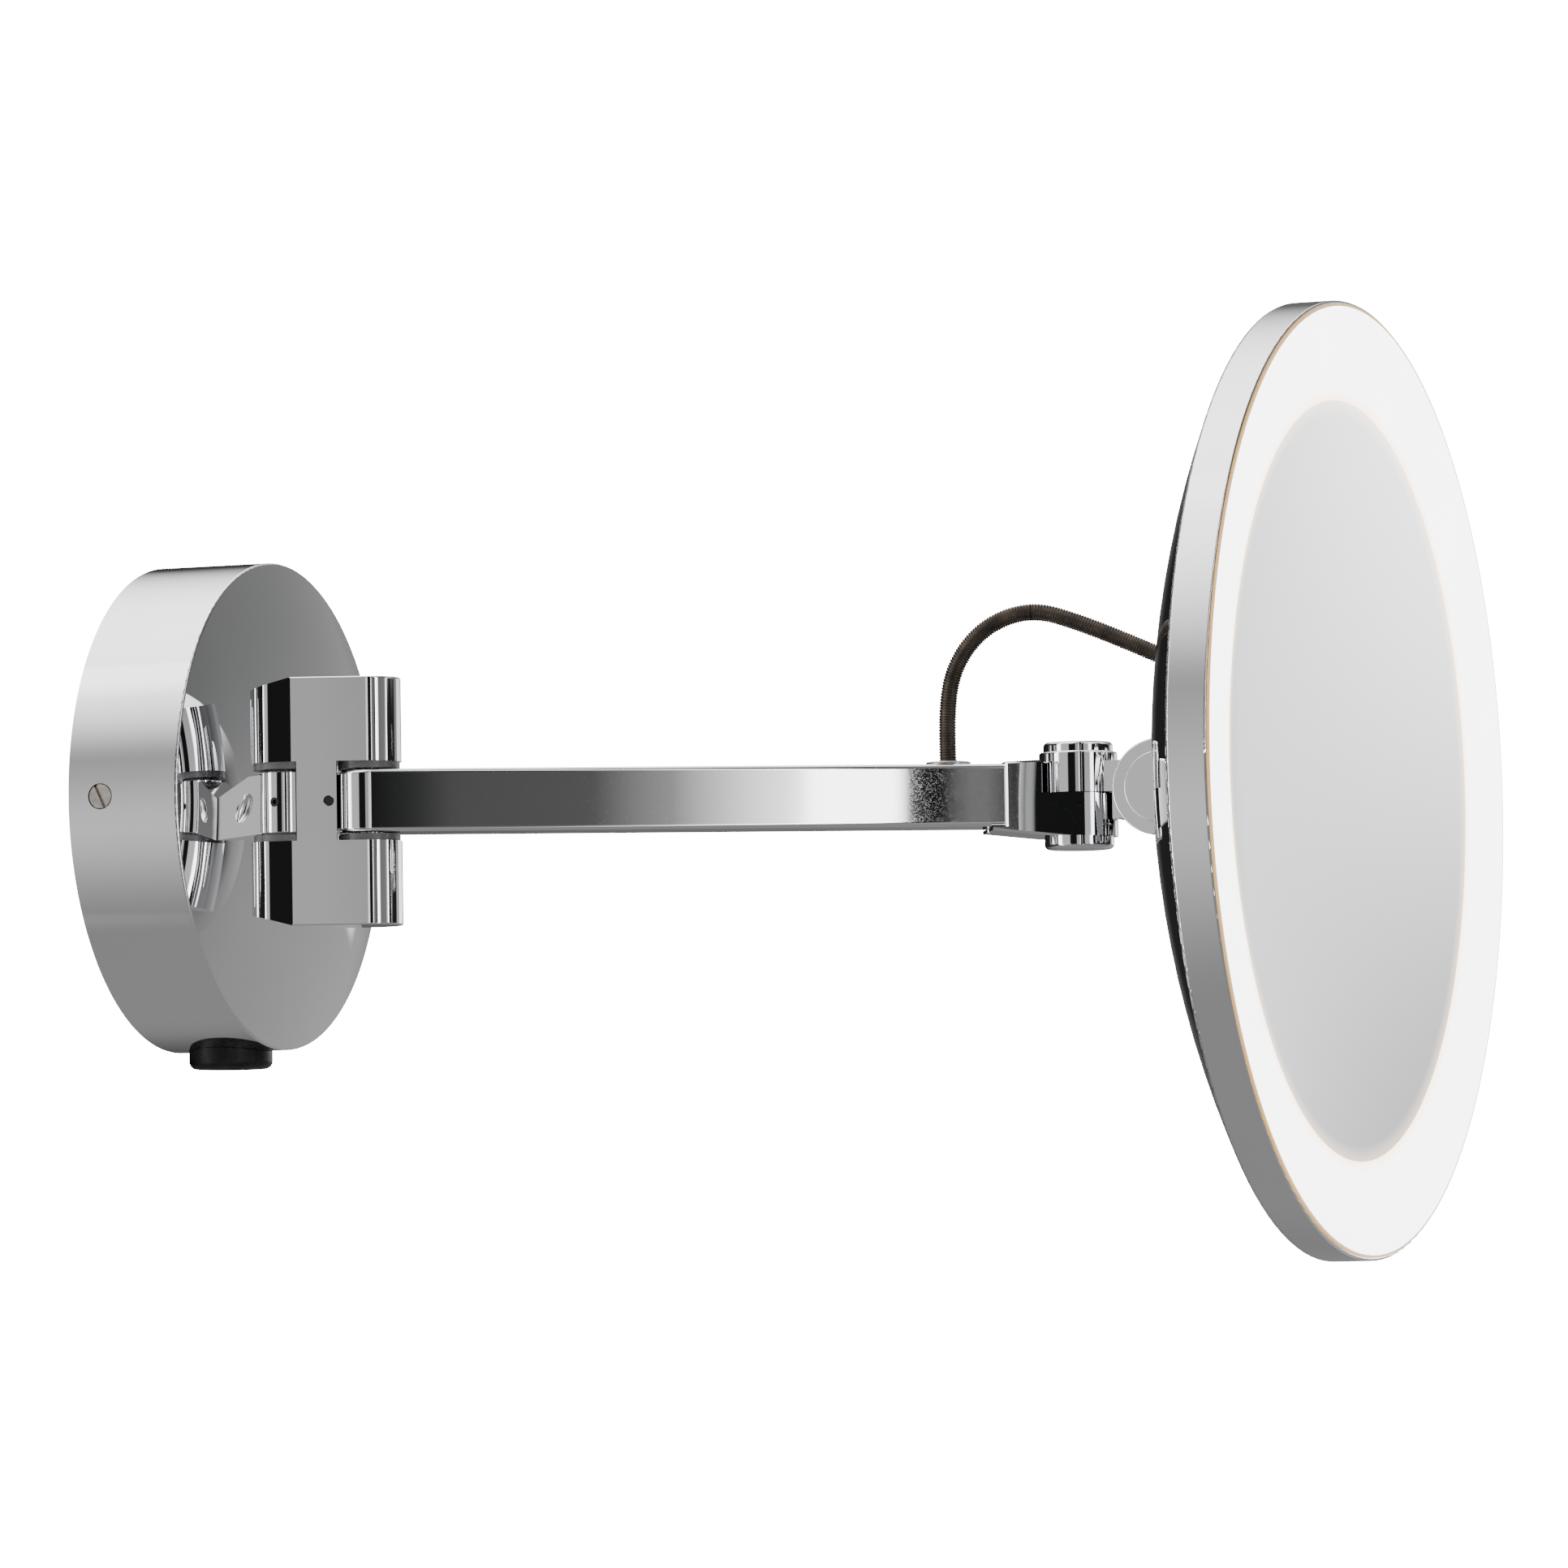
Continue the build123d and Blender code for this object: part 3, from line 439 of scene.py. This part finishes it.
def ground_steel():
    finish = Finish("ground_steel", (0.66, 0.67, 0.69), metallic=1.0)
    finish.uneven_gloss(0.14, 0.24, 90.0)
    finish.bump(finish.noise(40.0, 2.0, (1, 1, 60)), 0.00002, 0.5)
    return finish.material


def black_rubber():
    finish = Finish("black_rubber", (0.006, 0.006, 0.007), specular=0.2)
    finish.uneven_gloss(0.34, 0.52, 180.0)
    finish.tint(260.0, (0.005, 0.005, 0.006), (0.012, 0.012, 0.013))
    finish.bump(finish.noise(1400.0), 0.00004, 0.35)
    return finish.material


PLASTIC_DARKENING = 0.86


def moulded_plastic(name, colour, low, high):
    finish = Finish(name, colour)
    finish.uneven_gloss(low, high, 140.0)
    finish.bump(finish.noise(1100.0), 0.00003, 0.3)
    darker = tuple(c * PLASTIC_DARKENING for c in colour)
    finish.tint(90.0, colour, darker)
    return finish.material


def bronze_wire():
    finish = Finish("bronze_wire", (0.06, 0.048, 0.038), metallic=0.85)
    finish.uneven_gloss(0.30, 0.46, 400.0)
    finish.tint(260.0, (0.07, 0.055, 0.042), (0.03, 0.024, 0.02))
    return finish.material


def silvered_glass():
    """Mirror with a painted warm glow where it meets the lit ring."""
    finish = Finish("silvered_glass", (0.90, 0.915, 0.90), metallic=1.0, roughness=0.01)
    # painted glow: the mirror is no lamp, and its warm emission at the ring's edge stands in for the
    # ring's light
    finish.shine(finish.warm_edge(0.0035, (0, 0, 0, 1), (1.1, 0.79, 0.55, 1)), 1.0)
    finish.uneven_gloss(0.004, 0.014, 12.0)
    finish.tint(9.0, (0.90, 0.915, 0.90), (0.88, 0.90, 0.885))
    return finish.material


def lit_frosting():
    """Frosted ring, lit from behind and warmer along the edge beside the mirror."""
    finish = Finish("lit_frosting", (0.80, 0.80, 0.79), roughness=0.35, coat=0.3)
    light = finish.patches(30.0, (0.86, 0.86, 0.855), (0.90, 0.90, 0.89))
    finish.shine(finish.warm_edge(0.0022, light, (0.95, 0.66, 0.44, 1)), 7.5)
    finish.shader.inputs["Base Color"].default_value = (0.05, 0.05, 0.05, 1)
    finish.uneven_gloss(0.3, 0.42, 80.0)
    return finish.material


def painted_amber_glow():
    finish = Finish("painted_amber_glow", (0.70, 0.40, 0.12), roughness=0.25)
    # the seal's amber colour with a painted glow: the seal is no lamp, and its emission paints the light
    # seen along the glass edge
    finish.shine(finish.patches(16.0, (0.85, 0.42, 0.10), (1.0, 0.62, 0.25)), 0.8)
    return finish.material


def warm_lamp():
    finish = Finish("warm_lamp", (0.95, 0.88, 0.55), roughness=0.3)
    finish.shader.inputs["Emission Color"].default_value = (1.0, 0.9, 0.7, 1)
    finish.shader.inputs["Emission Strength"].default_value = 2.0
    finish.uneven_gloss(0.25, 0.4, 500.0)
    return finish.material


def pale_floor():
    finish = Finish("pale_floor", (0.88, 0.88, 0.87))
    finish.uneven_gloss(0.55, 0.7, 3.0)
    return finish.material


# ---------------------------------------------------------------- finishes on the frame's pieces
def dress_nodes(glass):
    chrome = polished_chrome()
    arm_chrome = polished_chrome("arm_chrome", 0.0, 0.012)
    steel, pins, nickel = plated_steel(), ground_steel(), satin_nickel()
    rubber = black_rubber()
    black = moulded_plastic("black_nylon", (0.03, 0.03, 0.032), 0.4, 0.55)
    white = moulded_plastic("white_nylon", (0.78, 0.78, 0.76), 0.4, 0.55)
    grey = moulded_plastic("washer_grey", (0.10, 0.10, 0.105), 0.3, 0.45)
    finishes = {
        chrome: ["wall_cover", "wall_bracket", "link_body", "elbow_block", "elbow_cap_bottom",
                 "swivel_knuckle", "elbow_cap_top", "tilt_clevis", "tilt_caps", "head_back", "head_band"],
        arm_chrome: ["arm_bar"],
        steel: ["wall_plate", "driver_screws", "terminal_screws", "switch_nut", "bracket_screws",
                "ferrule_nut", "hinge_screws", "head_tray"],
        pins: ["wall_pivot_pin", "arm_pivot_pin", "elbow_pin", "tilt_pin"],
        nickel: ["conduit_ferrule", "head_ferrule"],
        screw_nickel(): ["cover_screws"],
        black_oxide(): ["bracket_grub_screw", "link_grub_screw"],
        rubber: ["button_bezel", "cable_grommet"],
        black: ["switch_body", "arm_lead"],
        moulded_plastic("button_face", (0.14, 0.14, 0.145), 0.3, 0.45): ["button_cap"],
        white: ["driver_housing", "driver_lid", "terminal_block", "mirror_pad"],
        moulded_plastic("board_white", (0.85, 0.85, 0.82), 0.3, 0.4): ["led_board"],
        grey: ["link_washers", "elbow_washer"],
        glass: ["mirror_glass"],
        lit_frosting(): ["diffuser_ring"],
        # the front seal: amber colour with a painted glow
        painted_amber_glow(): ["front_seal"],
        warm_lamp(): ["led_chips"],
    }
    for material, names in finishes.items():
        for name in names:
            mesh = NODES[name].data
            mesh.materials.clear()
            mesh.materials.append(material)


def make_dished_mirror(glass):
    """The dished glass with its corners joined and its shading turned about one point in front of it."""
    mesh = NODES["mirror_glass"].data.copy()
    mesh.name = "dished_mirror"
    piece = bpy.data.objects.new("dished_mirror", mesh)
    bpy.context.scene.collection.objects.link(piece)
    mesh.materials.clear()
    mesh.materials.append(glass)
    shape = bmesh.new()
    shape.from_mesh(mesh)
    bmesh.ops.remove_doubles(shape, verts=shape.verts, dist=SAME_SPOT)
    shape.to_mesh(mesh)
    shape.free()
    centre = Vector(DISH_CENTRE) * MM
    normals = []
    for face in mesh.polygons:
        front = face.normal.x > FRONT_FACING
        for loop in face.loop_indices:
            corner = mesh.vertices[mesh.loops[loop].vertex_index].co
            normals.append((centre - corner).normalized() if front else face.normal.copy())
    mesh.normals_split_custom_set(normals)
    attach(piece, "head")
    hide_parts("mirror_glass")


# ---------------------------------------------------------------- conduit
def conduit_points():
    yaw = math.radians(ARM_YAW)
    start = Vector((ARM_PIVOT[0] + CONDUIT_EXIT * math.cos(yaw),
                    ARM_PIVOT[1] + CONDUIT_EXIT * math.sin(yaw)))
    run = (Vector(HEAD_ENTRY) - start).normalized()
    return [Vector((start.x + s * run.x, start.y + s * run.y, z)) * MM for s, z in ROUTE]


def smooth_line(points):
    curve = bpy.data.curves.new("conduit_line", "CURVE")
    curve.dimensions = "3D"
    curve.resolution_u = CURVE_STEPS
    spline = curve.splines.new("NURBS")
    spline.points.add(len(points) - 1)
    for place, point in zip(spline.points, points):
        place.co = (*point, 1)
    spline.order_u = 3
    spline.use_endpoint_u = True
    holder = bpy.data.objects.new("conduit_line", curve)
    bpy.context.scene.collection.objects.link(holder)
    bpy.context.view_layer.update()
    mesh = bpy.data.meshes.new_from_object(holder)
    line = [v.co.copy() for v in mesh.vertices]
    bpy.data.objects.remove(holder)
    return line


def line_length(line):
    return sum((b - a).length for a, b in zip(line, line[1:]))


def along_line(line, distance):
    """Point and direction at a distance along a line."""
    for a, b in zip(line, line[1:]):
        step = (b - a).length
        if distance <= step or b is line[-1]:
            direction = (b - a).normalized()
            return a + direction * distance, direction
        distance -= step


def wound_tube(name, line, begin, finish, material):
    """Close-wound wire: one round bulge of the tube for each turn."""
    radius = CONDUIT_DIAMETER / 2 * MM
    turns = round((finish - begin) / (WIRE_PITCH * MM))
    pitch = (finish - begin) / turns
    across = Vector((0, 1, 0))
    mesh = bpy.data.meshes.new(name)
    shape = bmesh.new()
    rings = []
    stations = [(begin + (t + part) * pitch, share) for t in range(turns) for part, share in WIRE_BULGE]
    stations.append((finish, WIRE_BULGE[0][1]))
    for distance, share in stations:
        centre, direction = along_line(line, distance)
        side = across.cross(direction).normalized()
        other = direction.cross(side)
        ring = []
        for k in range(TUBE_SIDES):
            angle = 2 * math.pi * k / TUBE_SIDES
            ring.append(shape.verts.new(centre + radius * share * (
                math.cos(angle) * side + math.sin(angle) * other)))
        rings.append(ring)
    for low, high in zip(rings, rings[1:]):
        for k in range(TUBE_SIDES):
            after = (k + 1) % TUBE_SIDES
            face = shape.faces.new((low[k], low[after], high[after], high[k]))
            face.smooth = True
    shape.faces.new(list(reversed(rings[0])))
    shape.faces.new(rings[-1])
    bmesh.ops.recalc_face_normals(shape, faces=shape.faces)
    shape.to_mesh(mesh)
    shape.free()
    mesh.materials.append(material)
    piece = bpy.data.objects.new(name, mesh)
    bpy.context.scene.collection.objects.link(piece)
    return piece


def make_conduit():
    line = smooth_line(conduit_points())
    total = line_length(line)
    crown = total * CROWN_SHARE
    material = bronze_wire()
    places = [0.0, crown, total]
    for i, name in enumerate(("lower", "upper")):
        piece = wound_tube("wound_conduit_" + name, line, places[i], places[i + 1], material)
        begin = along_line(line, places[i])[0]
        end = along_line(line, places[i + 1])[0]
        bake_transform(piece)
        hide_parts("conduit_" + name)
        path = [along_line(line, places[i] + (places[i + 1] - places[i]) * k / PATH_STEPS)[0]
                for k in range(PATH_STEPS + 1)]


def make_floor():
    bpy.ops.mesh.primitive_plane_add(size=FLOOR_SIZE, location=FLOOR_PLACE)
    floor = bpy.context.active_object
    floor.name = "floor"
    floor.data.materials.append(pale_floor())
    floor.visible_glossy = False


place_camera()
studio_world()
make_conduit()
glass = silvered_glass()
dress_nodes(glass)
make_dished_mirror(glass)
make_floor()
